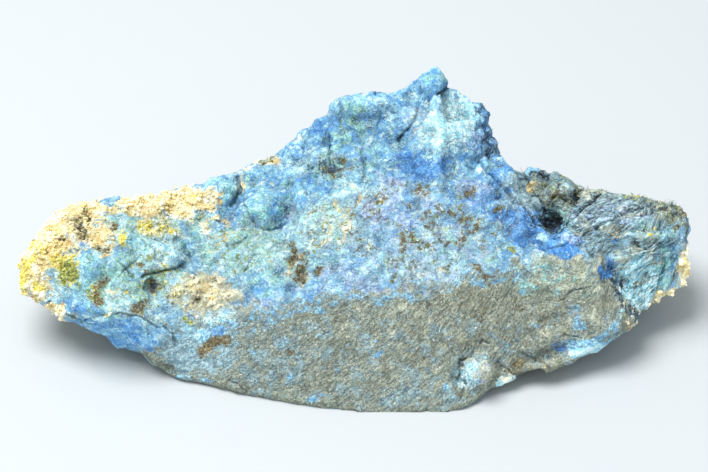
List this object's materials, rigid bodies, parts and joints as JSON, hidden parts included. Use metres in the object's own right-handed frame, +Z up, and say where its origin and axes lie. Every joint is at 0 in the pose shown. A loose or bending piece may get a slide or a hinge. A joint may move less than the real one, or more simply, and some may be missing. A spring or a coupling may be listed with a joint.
{
  "type": "aerinite specimen",
  "caption": "Loose hand specimen of blue fibrous aerinite on grey matrix, one irregular broken stone lying on its flattest face.",
  "frame": {"origin": "middle of the bounding box, on the surface that the stone lies on", "axes": "+X along the stone to its fibrous right end, +Y away from the grey front break, +Z up"},
  "size_m": [0.0608, 0.0278, 0.0217],
  "materials": {
    "aerinite": "matt, earthy and fibrous, mottled blue with pale cream crust, brown specks and one grey polished break"
  },
  "bodies": {
    "root": {"aerinite_stone": "aerinite"}
  },
  "joints": []
}
